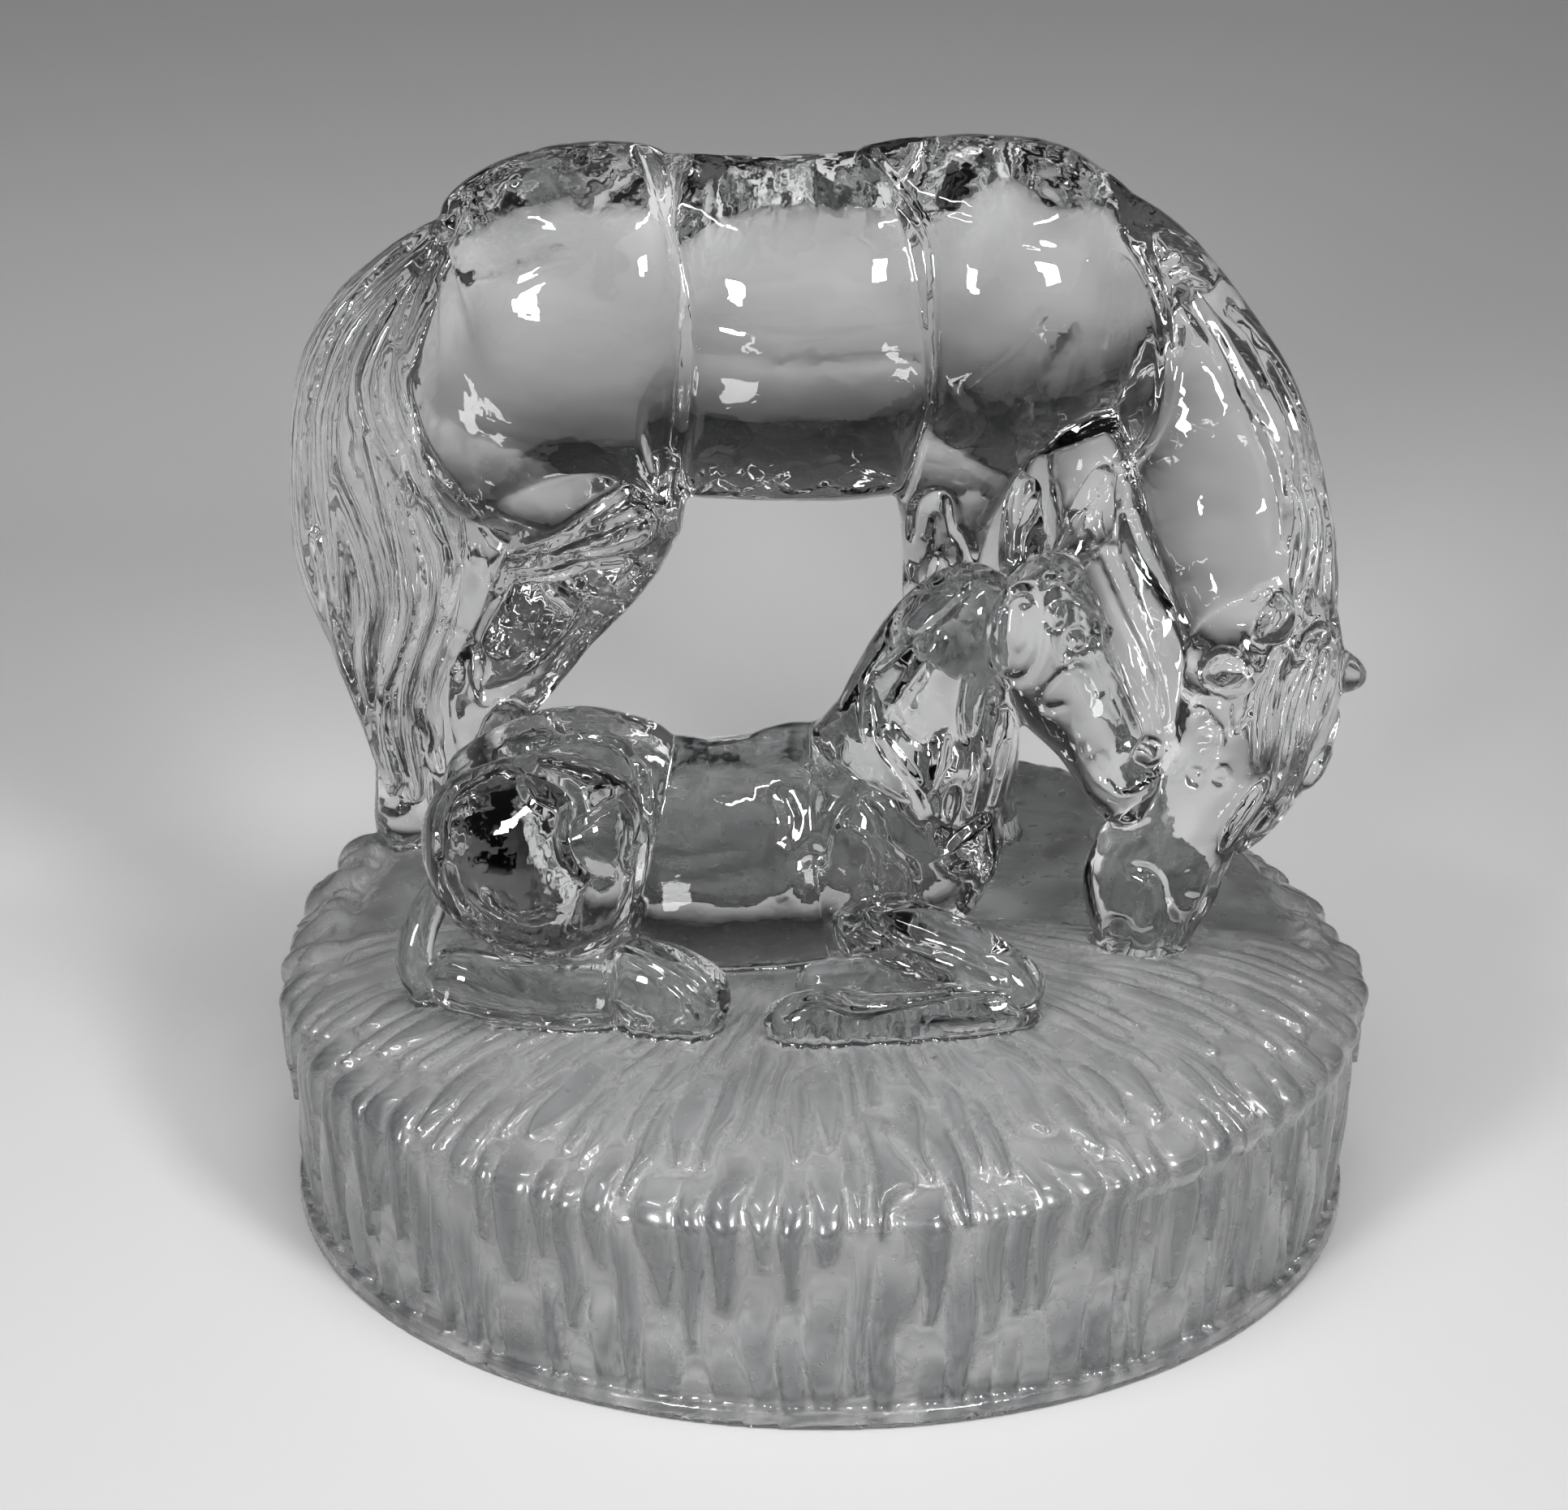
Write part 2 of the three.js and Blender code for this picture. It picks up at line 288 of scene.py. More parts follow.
# The foal lies in front on folded legs, its head up against the mare's cheek and its ears on
# her chest.
foal = [
    limb([
        [-70, -13, 15, 8, 10],
        [-62, -14, 16, 11, 13.5],
        [-49, -14, 17, 14, 16.5],
        [-38, -13, 16.4, 13.4, 15.8],
        [-30, -13, 15, 11, 13.5],
    ], sides=48),
    limb([
        [-38, -13, 15, 9, 12],
        [-31, -13, 14.8, 12, 14.8],
        [-22, -13, 13.8, 13, 15.2],
        [-10, -13, 14.5, 13.2, 15.6],
        [-1, -13, 16, 12.4, 15.8],
        [6, -13, 16.5, 9, 13],
    ], sides=48),
    limb([
        [-8, -13, 16, 9, 12],
        [-1, -13, 16.2, 12, 15.6],
        [8, -14, 16.6, 13.6, 16.4],
        [17, -14, 17.6, 11.6, 14.4],
        [26, -14, 19.8, 8.8, 10.4],
        [33, -14, 21, 6, 7],
    ], sides=48),
    limb([
        [11, -15, 20, 10, 15],
        [18, -15, 30, 9.5, 12.5],
        [22, -14, 39.5, 8, 10.5],
        [27.5, -13, 46, 7, 8.6],
        [36, -12, 49, 5, 6],
    ], sides=40),
    limb([
        [34, -12, 52, 5, 5.5],
        [39.5, -12.5, 48.5, 6.5, 7.6],
        [41.5, -13, 42.5, 6.8, 8.2],
        [45, -13.5, 37.5, 6, 7.4],
        [50, -14, 32, 4.8, 6],
        [54, -14.5, 27, 4.4, 5.4],
        [57, -15, 23, 4.4, 5],
        [58.5, -15, 19, 3, 3.4],
    ], sides=40),
    limb([[35, -8, 50, 2.4, 2.6], [36.5, -1, 56, 2.4, 2.8], [37, 8, 61, 1.4, 1.8]], rings=16),
    limb([[43, -9, 51, 2.4, 2.6], [48, -3, 56, 2.5, 3], [51, 3, 59.5, 2.4, 2.8], [53, 8, 62, 1.4, 1.7]], rings=16),
    limb([
        [-73, -27, 18, 6, 8],
        [-63, -30, 19, 8.5, 12],
        [-53, -31, 19, 9.5, 14],
        [-42, -30, 18.5, 8.5, 12.5],
        [-34, -27, 17.5, 6, 8],
    ], sides=48),
    limb([[-73, -40, 6, 4, 4.5], [-60, -43, 4.4, 4, 4.4], [-47, -44, 3.6, 3.8, 4.2], [-37, -44, 4, 4.2, 4.6]]),
    limb([[-41, -42, 5.6, 3.6, 4.4], [-33, -44, 5.2, 5, 6.4], [-25, -45, 4, 5.2, 6], [-17, -46, 3, 3.4, 4]]),
    limb([[-69, -22, 14, 2.2, 2.2], [-74, -27, 9, 2.4, 2.4], [-76, -30, 3.5, 2.4, 2.4], [-72, -32, -2, 2, 2]]),
    limb([
        [3, -28, 9, 5, 5.6],
        [16, -35, 9, 5, 5.2],
        [27, -40, 7.6, 4.6, 4.8],
        [35, -43, 5, 4.2, 4.4],
        [40, -44, 3.2, 3.4, 3.4],
    ]),
    limb([
        [40, -44, 3, 3.6, 3.6],
        [25, -47, 2.4, 3.4, 3.4],
        [10, -48, 2.2, 3.2, 3.2],
        [0, -48, 2.4, 3.8, 3.8],
        [-11, -49, 1.8, 3, 2.8],
    ]),
    limb([[36, -38, 5, 3.4, 3.4], [20, -40, 5, 3.2, 3.2], [6, -41, 4.8, 3.2, 3.2], [-5, -41, 4.2, 3.4, 3.6]]),
]


# Webs of glass are left between the two where the mould could not part them.
webs = [
    limb([
        [43, 30, 80, 3.5, 4],
        [48, 20, 68, 4, 5.5],
        [54, 8, 55, 4.5, 7.5],
        [60, -4, 42, 4.5, 6.5],
        [63, -11, 30, 4, 5],
        [62, -14, 24, 3, 4],
    ]),
    limb([[-54, -14, 18, 7, 12], [-58, 8, 15, 6, 12], [-62, 27, 13, 4, 10]], side=(1, 0, 0)),
    limb([[16, -14, 26, 8, 14], [20, 8, 24, 6, 14], [23, 26, 22, 4.4, 12]], side=(1, 0, 0)),
    limb([
        [39, -8, 49, 3, 4.2],
        [40, 6, 53, 2.6, 3.6],
        [42, 20, 60, 2.6, 3.6],
        [45, 31, 67, 3, 4],
    ], side=(1, 0, 0)),
]


# The photograph was taken from a little above. Locks of hair and the finer lines are laid out by
# their places in it, in pixels, and each is laid on the surface that is seen there.
aim = Vector((-0.00456, 0, 0.05473))
distance = 0.915
down = radians(24.8)
roll = radians(0.30)
photo_width = 1932
photo_height = 1860
focal_pixels = 9683
camera_turn = Matrix.Rotation(pi / 2 - down, 3, "X") @ Matrix.Rotation(roll, 3, "Z")
eye = aim + distance * Vector((0, -cos(down), sin(down)))
nearest_tries = 6


def seen_on(surface, place, from_behind=False):
    sight = camera_turn @ Vector((place[0] - photo_width / 2, photo_height / 2 - place[1], -focal_pixels))
    sight.normalize()
    start = eye + 2 * distance * sight if from_behind else eye
    spot, facing, face, reach = surface.ray_cast(start, -sight if from_behind else sight)
    if spot is None:
        spot = eye + sight * distance
        for attempt in range(nearest_tries):
            spot, facing, face, reach = surface.find_nearest(spot)
            on_line = eye + sight * (spot - eye).dot(sight)
            if attempt < nearest_tries - 1:
                spot = on_line
    return spot, facing


def traced(surface, path, step_length, from_behind=False):
    length = sum(hypot(end[0] - start[0], end[1] - start[1]) for start, end in zip(path, path[1:]))
    steps = max(2, round(length / step_length))
    return [seen_on(surface, through(path, step / steps), from_behind) for step in range(steps + 1)]


# A lock of hair is a thin limb, deeper than it is broad, that tapers to both ends. It stops where
# the surface under it steps back.
lock_step = 20
lock_end = 0.45
lock_height = 1.3
lock_breadth = 0.8
deepest_step = 0.004


def lock_of_hair(surface, path, thickness, proud, from_behind=False):
    stations = []
    spots = traced(surface, path, lock_step, from_behind)
    for number, (spot, facing) in enumerate(spots):
        share = number / (len(spots) - 1)
        width = thickness * (lock_end + (1 - lock_end) * sin(pi * share) ** 0.6)
        if number > 0 and abs(spot.y - spots[number - 1][0].y) > deepest_step:
            break
        spot = spot + facing * width * proud
        stations.append([
            spot.x / place_unit, spot.y / place_unit, (spot.z - turf_rise) / form_unit,
            lock_height * width / form_unit, lock_breadth * width / form_unit,
        ])
    return limb(stations, sides=12, rings=6 * len(stations)) if len(stations) > 2 else bmesh.new()


# Her tail is combed into long wavy locks, which part and meet again like flames.
tail_locks = [
    [(550, 274), (494, 310), (440, 358), (404, 408), (383, 463), (374, 530), (373, 600), (382, 680), (404, 750),
     (424, 800)],
    [(556, 282), (512, 322), (468, 365), (434, 412), (414, 460), (404, 520), (407, 590), (416, 660), (424, 740),
     (438, 790), (454, 840)],
    [(545, 300), (510, 350), (484, 392), (464, 430), (454, 470), (460, 512), (476, 548), (494, 585), (507, 625)],
    [(520, 335), (502, 378), (486, 418), (476, 460), (484, 508), (500, 545), (516, 585), (534, 625), (550, 665)],
    [(452, 520), (462, 560), (474, 600), (486, 645), (497, 695), (500, 745), (490, 790), (476, 835), (470, 880)],
    [(405, 555), (415, 595), (432, 640), (448, 690), (456, 740), (452, 790), (458, 850), (476, 905), (492, 955)],
    [(390, 650), (404, 705), (416, 762), (433, 815), (453, 868), (470, 920), (486, 978)],
    [(500, 620), (516, 660), (526, 700), (522, 750), (508, 795), (496, 845), (498, 900), (508, 948), (514, 985)],
    [(548, 655), (556, 695), (550, 735), (536, 775), (524, 815), (520, 852), (528, 892), (538, 935), (544, 968)],
    [(478, 830), (472, 880), (480, 925), (492, 968)],
]
# The mane starts in short waves at the withers and ends in ripples behind the ears, and the
# forelock falls over her cheek in narrow curls.
mane_locks = [
    [(1400, 300), (1420, 296), (1440, 292), (1456, 300), (1470, 302)],
    [(1418, 314), (1438, 306), (1456, 312), (1474, 316), (1486, 314)],
    [(1432, 332), (1450, 322), (1466, 328), (1484, 326), (1496, 322)],
    [(1444, 350), (1464, 338), (1480, 344), (1500, 334)],
    [(1596, 600), (1604, 640), (1602, 680), (1596, 720), (1600, 752)],
    [(1614, 596), (1622, 640), (1620, 684), (1614, 724), (1618, 760)],
    [(1630, 610), (1638, 660), (1638, 710), (1640, 760)],
]
forelock_locks = [
    [(1584, 796), (1570, 830), (1560, 872), (1556, 915), (1552, 950)],
    [(1622, 800), (1606, 842), (1596, 880), (1590, 920), (1578, 958), (1560, 990)],
    [(1636, 806), (1624, 850), (1610, 890), (1600, 930), (1586, 968), (1564, 1004), (1540, 1028)],
    [(1652, 872), (1638, 905), (1622, 940), (1604, 972)],
    [(1560, 960), (1540, 990), (1520, 1020), (1505, 1048)],
]
sizes_of_locks = [
    (tail_locks, 0.0017, 0.2),
    (mane_locks, 0.0010, 0.0),
    (forelock_locks, 0.0013, 0.2),
]

horses = bmesh.new()
limbs = [haunch, barrel, shoulder, *hind_legs, *forelegs, tail, neck, mane, head, forelock, tuft]
for form in [*limbs, *mare_ears, *foal, *webs]:
    piece = bpy.data.meshes.new("limb")
    form.to_mesh(piece)
    form.free()
    horses.from_mesh(piece)
    bpy.data.meshes.remove(piece)
horses_tree = BVHTree.FromBMesh(horses)
for paths, thickness, proud in sizes_of_locks:
    for path in paths:
        for from_behind in (False, True):
            piece = bpy.data.meshes.new("lock")
            form = lock_of_hair(horses_tree, path, thickness, proud, from_behind)
            form.to_mesh(piece)
            form.free()
            horses.from_mesh(piece)
            bpy.data.meshes.remove(piece)


# All of it comes out of the mould as one casting. The forms are melted into each other here on a
# fine grid, and their meetings are softened as hot glass softens them.
grain = 0.00037
melting = 0.5
melting_passes = 2

mesh = bpy.data.meshes.new("crystal_mare_and_foal")
turf.to_mesh(mesh)
turf.free()
horses.from_mesh(mesh)
horses.to_mesh(mesh)
horses.free()
figurine = bpy.data.objects.new("crystal_mare_and_foal", mesh)
bpy.context.scene.collection.objects.link(figurine)


def finished_by(modifier_type, **settings):
    modifier = figurine.modifiers.new(modifier_type, modifier_type)
    for name, value in settings.items():
        setattr(modifier, name, value)
    shape = figurine.evaluated_get(bpy.context.evaluated_depsgraph_get())
    made = bpy.data.meshes.new_from_object(shape)
    made.name = "crystal_mare_and_foal"
    figurine.modifiers.clear()
    worn = figurine.data
    figurine.data = made
    bpy.data.meshes.remove(worn)


finished_by("REMESH", mode="VOXEL", voxel_size=grain)
finished_by("SMOOTH", factor=melting, iterations=melting_passes)


# The mould also gives the finer lines: the creases between the mare's masses, her eyes, nostrils
# and ears, and those of the foal. Each is [path in the photograph, half width, depth] in metres,
# and a depth below nothing stands proud. Those of the first list show on both faces.
ring_steps = 16
line_step = 6
longest_gap = 0.003
press_step = 0.00015
press_reach = 2.4
line_slope = 2.718


def ring(x, y, across, up, tilt=0.0):
    path = []
    for step in range(ring_steps + 1):
        turn = step * tau / ring_steps
        right = across * cos(turn)
        rise = up * sin(turn)
        path.append((
            x + right * cos(radians(tilt)) - rise * sin(radians(tilt)),
            y - right * sin(radians(tilt)) - rise * cos(radians(tilt)),
        ))
    return path


lines_through = [
    [[(562, 265), (540, 310), (512, 350), (496, 403), (494, 452), (505, 500), (520, 545), (557, 603)],
     0.0007, 0.0008],
    [[(557, 603), (581, 634), (611, 668), (640, 674), (685, 660), (715, 638), (750, 614), (780, 599),
      (810, 622)], 0.0006, 0.0007],
    [[(680, 677), (715, 662), (748, 650), (780, 636), (800, 644), (789, 668), (737, 684), (700, 687)],
     0.0005, -0.0005],
    [[(626, 710), (683, 707), (719, 694), (750, 690), (776, 690), (782, 703), (763, 720)], 0.0005, 0.0006],
    [[(795, 185), (830, 290), (852, 400), (848, 500), (838, 600)], 0.0006, 0.0006],
    [[(1070, 185), (1110, 240), (1145, 300), (1150, 400), (1146, 500), (1112, 610)], 0.0006, 0.0006],
    [[(1384, 289), (1409, 330), (1428, 372), (1435, 413), (1436, 454), (1430, 500), (1412, 540), (1375, 575)],
     0.0006, 0.0007],
    [[(1419, 289), (1430, 330), (1443, 380), (1450, 440), (1441, 496), (1420, 545), (1390, 575)], 0.0004, 0.0004],
    [[(1450, 425), (1452, 385), (1462, 374), (1479, 391), (1504, 430), (1524, 478), (1545, 523), (1562, 566),
      (1575, 610), (1580, 665)], 0.0010, 0.0009],
    [[(1470, 362), (1490, 392), (1522, 450), (1546, 496), (1566, 530), (1582, 566), (1590, 610)], 0.0005, 0.0004],
    [[(1515, 385), (1543, 413), (1564, 454), (1584, 496), (1598, 530), (1605, 564), (1608, 600)], 0.0006, 0.0007],
    [[(1557, 427), (1577, 452), (1598, 492), (1612, 530), (1620, 566)], 0.0004, 0.0004],
    [[(1479, 829), (1488, 812), (1508, 804), (1526, 811), (1536, 826)], 0.0005, 0.0006],
    [[(1484, 839), (1500, 848), (1516, 847), (1530, 836)], 0.0004, 0.0005],
    [[(1495, 828), (1508, 824), (1520, 827)], 0.0009, -0.0004],
    [[(1546, 783), (1556, 757), (1558, 738), (1571, 732), (1586, 750), (1576, 770), (1552, 786)], 0.0004, -0.0005],
    [[(1556, 776), (1568, 758), (1570, 745)], 0.0006, 0.0007],
    [[(1597, 815), (1593, 792), (1609, 773), (1625, 764), (1635, 773), (1622, 792), (1603, 812)], 0.0004, -0.0005],
    [[(1604, 800), (1614, 784), (1626, 774)], 0.0006, 0.0007],
    [[(643, 352), (672, 336), (708, 325)], 0.0004, 0.00015],
    [[(866, 399), (930, 407), (1000, 415), (1084, 406)], 0.0004, 0.00013],
    [[(1148, 262), (1180, 261), (1210, 267)], 0.0004, 0.00015],
    [[(1258, 299), (1300, 307), (1338, 323)], 0.0004, 0.00015],
    [[(1180, 476), (1215, 457), (1250, 430), (1272, 400), (1285, 385)], 0.0005, 0.0002],
    [[(1182, 480), (1202, 500), (1216, 528), (1192, 552), (1170, 556)], 0.0005, 0.0002],
]
lines_in_front = [
    [[(852, 590), (872, 570), (896, 588), (922, 572), (950, 592), (984, 576), (1020, 594), (1060, 580),
      (1098, 590)], 0.0007, 0.0004],
    [[(858, 606), (884, 592), (912, 604), (944, 594), (980, 608), (1016, 596), (1054, 606), (1092, 600)],
     0.0005, 0.0004],
    [[(870, 566), (884, 556), (902, 560), (906, 574)], 0.0006, -0.0004],
    [[(1000, 580), (1024, 566), (1046, 572)], 0.0006, -0.0004],
    [[(1484, 858), (1520, 864), (1540, 852), (1560, 825)], 0.0007, 0.0004],
    [[(1512, 871), (1517, 903), (1534, 874)], 0.0004, 0.0005],
    [[(1465, 879), (1480, 874), (1490, 884), (1479, 896), (1502, 899)], 0.0004, 0.0005],
    [[(1486, 886), (1500, 898), (1505, 915), (1499, 928)], 0.0005, 0.0005],
    [ring(1505, 956, 7, 10, -20), 0.0004, 0.0004],
    [ring(1473, 957, 8, 8), 0.0004, 0.0004],
    [[(1396, 1070), (1412, 1072), (1428, 1086), (1436, 1112), (1442, 1138), (1434, 1156)], 0.0006, 0.0007],
    [ring(1412, 1112, 13, 28, -12), 0.0007, -0.0004],
    [ring(1377, 1147, 14, 14), 0.0005, 0.0004],
    [[(1360, 1000), (1348, 1040), (1342, 1085), (1352, 1130)], 0.0005, 0.0005],
    [[(1464, 1079), (1448, 1090), (1460, 1106), (1478, 1110)], 0.0007, 0.0002],
    [ring(1253, 783, 29, 57, -6), 0.0006, 0.0007],
    [ring(1256, 775, 15, 34, -6), 0.0006, 0.0004],
    [ring(1304, 757, 13, 20, -12), 0.0004, 0.0006],
    [[(1297, 755), (1304, 762)], 0.0006, -0.0005],
    [ring(1328, 789, 14, 14), 0.0004, 0.0006],
    [[(1328, 789), (1330, 792)], 0.0006, -0.0006],
    [[(1290, 728), (1306, 722), (1322, 738), (1336, 752), (1349, 762), (1353, 785), (1351, 801), (1362, 790),
      (1368, 770)], 0.0005, -0.0006],
    [[(1295, 713), (1323, 727)], 0.0004, 0.0004],
    [[(1300, 724), (1325, 740)], 0.0004, 0.0004],
    [[(1356, 806), (1369, 828), (1384, 861), (1402, 904), (1390, 926)], 0.0008, -0.0007],
    [[(1330, 825), (1345, 833), (1356, 852)], 0.0006, 0.0005],
    [[(1290, 778), (1296, 800), (1308, 818), (1322, 806)], 0.0006, -0.0005],
    [[(1310, 830), (1296, 842), (1284, 858), (1290, 874), (1310, 870)], 0.0005, 0.0004],
    [ring(1415, 931, 18, 17), 0.0005, 0.0007],
    [[(1408, 926), (1418, 934)], 0.0006, -0.0006],
    [[(1346, 938), (1350, 948), (1357, 957)], 0.0004, 0.0004],
    [[(1358, 930), (1366, 948), (1378, 974)], 0.0005, 0.0005],
    [[(1330, 905), (1338, 940), (1355, 962), (1380, 979), (1402, 974), (1425, 956)], 0.0004, -0.0005],
    [[(1243, 690), (1241, 660), (1246, 620), (1257, 600), (1272, 592), (1279, 610), (1270, 636), (1260, 655),
      (1258, 688)], 0.0004, -0.0005],
    [[(1256, 640), (1262, 620), (1268, 606)], 0.0005, 0.0005],
    [[(1262, 690), (1262, 665), (1270, 652), (1276, 664)], 0.0004, 0.0004],
    [ring(1283, 674, 7, 15), 0.0004, -0.0004],
    [[(1326, 656), (1317, 632), (1320, 609)], 0.0004, -0.0004],
    [[(1330, 655), (1344, 625), (1364, 592)], 0.0004, 0.0005],
    [[(1353, 612), (1353, 640), (1357, 660), (1364, 664), (1368, 640), (1369, 600)], 0.0004, -0.0004],
    [[(1343, 672), (1374, 744), (1410, 815), (1428, 870), (1437, 915)], 0.0004, 0.0005],
    [[(1358, 680), (1386, 740), (1410, 795), (1428, 840), (1438, 890)], 0.0004, -0.0004],
    [[(1372, 672), (1396, 730), (1420, 790), (1436, 840), (1442, 890)], 0.0004, 0.0005],
    [[(1389, 640), (1406, 684), (1437, 734), (1456, 764), (1464, 790)], 0.0007, -0.0006],
    [[(1381, 588), (1378, 629), (1374, 672)], 0.0005, 0.0006],
    [[(1121, 660), (1126, 627), (1140, 612), (1162, 609), (1174, 622), (1178, 648), (1190, 664), (1202, 686)],
     0.0006, 0.0008],
    [[(1140, 660), (1145, 634), (1155, 627), (1164, 636), (1167, 655)], 0.0005, -0.0004],
    [[(1139, 712), (1145, 692), (1158, 686), (1171, 694), (1176, 710)], 0.0004, 0.0004],
    [[(1148, 714), (1152, 703), (1160, 700), (1168, 708)], 0.0004, -0.0004],
    [[(1106, 713), (1131, 724), (1157, 721), (1187, 703), (1216, 697)], 0.0005, 0.0005],
    [[(1080, 826), (1120, 792), (1159, 761), (1180, 742), (1212, 704)], 0.0004, 0.0004],
    [[(1156, 789), (1142, 815), (1120, 846), (1102, 874)], 0.0009, -0.0006],
    [[(1102, 874), (1110, 896), (1136, 918), (1146, 912)], 0.0005, 0.0005],
    [[(1194, 838), (1190, 870), (1192, 905), (1204, 908), (1214, 880), (1222, 850)], 0.0006, 0.0006],
    [[(1160, 915), (1156, 945), (1148, 972)], 0.0008, -0.0006],
    [[(1174, 915), (1170, 945), (1152, 978)], 0.0005, 0.0005],
    [ring(1175, 994, 13, 27, -12), 0.0007, 0.0007],
    [[(1207, 926), (1203, 960), (1195, 1002)], 0.0006, -0.0006],
    [[(1222, 860), (1216, 900), (1212, 940)], 0.0006, 0.0005],
    [[(1240, 920), (1230, 960), (1218, 1003)], 0.0006, 0.0006],
    [[(1150, 1015), (1159, 1046), (1190, 1020), (1232, 998)], 0.0006, 0.0006],
    [[(1088, 907), (1110, 938), (1135, 972), (1150, 1000)], 0.0006, -0.0006],
    [[(1068, 852), (1066, 880), (1068, 905)], 0.0006, -0.0005],
    [[(1010, 1059), (1024, 1017), (1044, 989), (1068, 970), (1090, 980), (1108, 990)], 0.0006, 0.0007],
    [[(1066, 988), (1083, 1011), (1094, 1042), (1122, 1070), (1128, 1105)], 0.0006, 0.0006],
    [[(1035, 1014), (1066, 1031), (1080, 1050), (1079, 1073), (1086, 1105)], 0.0004, -0.0005],
    [[(540, 1050), (545, 995), (576, 958), (620, 935), (680, 915), (730, 910), (767, 922), (789, 952)],
     0.0005, 0.0006],
    [[(789, 952), (797, 1010), (793, 1060), (784, 1120), (762, 1150), (716, 1172), (672, 1183)], 0.0007, 0.0009],
    [[(556, 1070), (564, 1096), (580, 1120), (607, 1141)], 0.0005, 0.0007],
    [[(625, 925), (650, 950), (690, 968), (708, 995), (702, 1030), (716, 1066), (745, 1084)], 0.0011, 0.0007],
    [[(702, 1020), (733, 995), (764, 981), (784, 1012), (780, 1060)], 0.0011, 0.0006],
    [[(648, 960), (658, 985), (684, 1000), (690, 1020)], 0.0008, -0.0005],
    [[(602, 1100), (620, 1122), (650, 1134), (676, 1126)], 0.0006, 0.0006],
    [[(560, 1140), (596, 1152), (620, 1176), (650, 1186), (694, 1182), (756, 1157)], 0.0005, 0.0006],
    [[(744, 1160), (756, 1200), (750, 1235), (765, 1262)], 0.0004, 0.0005],
    [[(776, 1160), (820, 1180), (856, 1206), (880, 1232)], 0.0005, 0.0006],
    [[(770, 1172), (810, 1196), (844, 1226), (862, 1250)], 0.0004, 0.0004],
    [[(786, 1152), (836, 1166), (872, 1196)], 0.0004, 0.0004],
    [[(966, 985), (976, 1010), (968, 1040), (972, 1062), (1000, 1052)], 0.0011, 0.0007],
    [[(966, 1045), (970, 1075), (964, 1100)], 0.0008, -0.0006],
    [[(1079, 1133), (1115, 1160), (1173, 1177), (1232, 1207)], 0.0005, 0.0006],
    [[(1076, 1122), (1138, 1116), (1202, 1136), (1255, 1171), (1281, 1218)], 0.0004, 0.0004],
    [[(1056, 1154), (1070, 1162), (1082, 1166)], 0.0004, 0.0004],
    [[(968, 1250), (1003, 1230), (1056, 1247), (1103, 1239), (1188, 1222), (1240, 1224)], 0.0004, 0.0005],
    [[(800, 1054), (850, 1056), (880, 1050), (934, 1044)], 0.0004, 0.00014],
    [[(925, 945), (945, 937), (966, 934)], 0.0004, 0.0002],
    [[(976, 940), (990, 946), (1001, 953)], 0.0004, 0.0002],
    [ring(561, 831, 10, 17, 0), 0.0004, 0.0005],
    [ring(561, 831, 3, 8, 0), 0.0004, -0.0004],
    [[(544, 766), (562, 778), (578, 786), (587, 805), (590, 835)], 0.0004, 0.0005],
    [[(628, 714), (612, 742), (596, 768), (588, 792), (596, 815), (590, 840), (598, 852), (628, 844), (659, 829),
      (689, 799), (722, 768)], 0.0005, 0.0006],
    [[(585, 857), (596, 866), (616, 864), (640, 846), (659, 831)], 0.0004, -0.0004],
    [[(598, 690), (601, 715), (608, 733), (617, 724), (621, 705)], 0.0004, 0.0005],
    [[(574, 673), (561, 723), (549, 757), (533, 788), (522, 822), (520, 862)], 0.0005, 0.0005],
]

mesh = figurine.data
places = [corner.co.copy() for corner in mesh.vertices]
facings = [corner.normal.copy() for corner in mesh.vertices]
surface = BVHTree.FromPolygons(places, [tuple(face.vertices) for face in mesh.polygons])
near_places = KDTree(len(places))
for number, place in enumerate(places):
    near_places.insert(place, number)
near_places.balance()
raised = [0.0] * len(places)


def carve(path, half_width, depth, from_behind=False):
    spots = traced(surface, path, line_step, from_behind)
    touched = {}
    for (start, facing), (end, facing_after) in zip(spots, spots[1:]):
        if (end - start).length > longest_gap:
            continue
        steps = max(2, round((end - start).length / press_step))
        for step in range(steps + 1):
            spot = start.lerp(end, step / steps)
            for place, number, reach in near_places.find_range(spot, press_reach * half_width):
                if facings[number].dot(facing) > 0.1 and reach < touched.get(number, 1):
                    touched[number] = reach
    for number, reach in touched.items():
        raised[number] -= depth * line_slope ** -((reach / half_width) ** 2)


for path, half_width, depth in lines_through:
    carve(path, half_width, depth)
    carve(path, half_width, depth, from_behind=True)
for path, half_width, depth in lines_in_front:
    carve(path, half_width, depth)


# The grass is a coat of long drops in uneven columns, each pointed at its lower end with a sharp
# groove round it. They hang down the wall and run back over the turf, finer towards the middle.
# The turf behind the mare is left plain within a rough rim.
drop_width = 0.0038
drop_length = 0.022
drop_depth = 0.0013
drop_point = 0.45
drop_fade = 0.4
column_wave = 0.006
blade_wave = 0.009
blade_rise = 0.008
lean_depth = 0.6
columns = round(tau * shoulder_radius / drop_width)
rim_grain = 0.0042
rim_depth = 0.0014
rear_swell = 0.0024
rear_turn = radians(150)
wave_length = 0.008
wave_depth = 0.00018
turf_skin = 0.0002
turf_skin_end = 0.0007


def ease(value, start, end):
    share = min(max((value - start) / (end - start), 0), 1)
    return share * share * (3 - 2 * share)


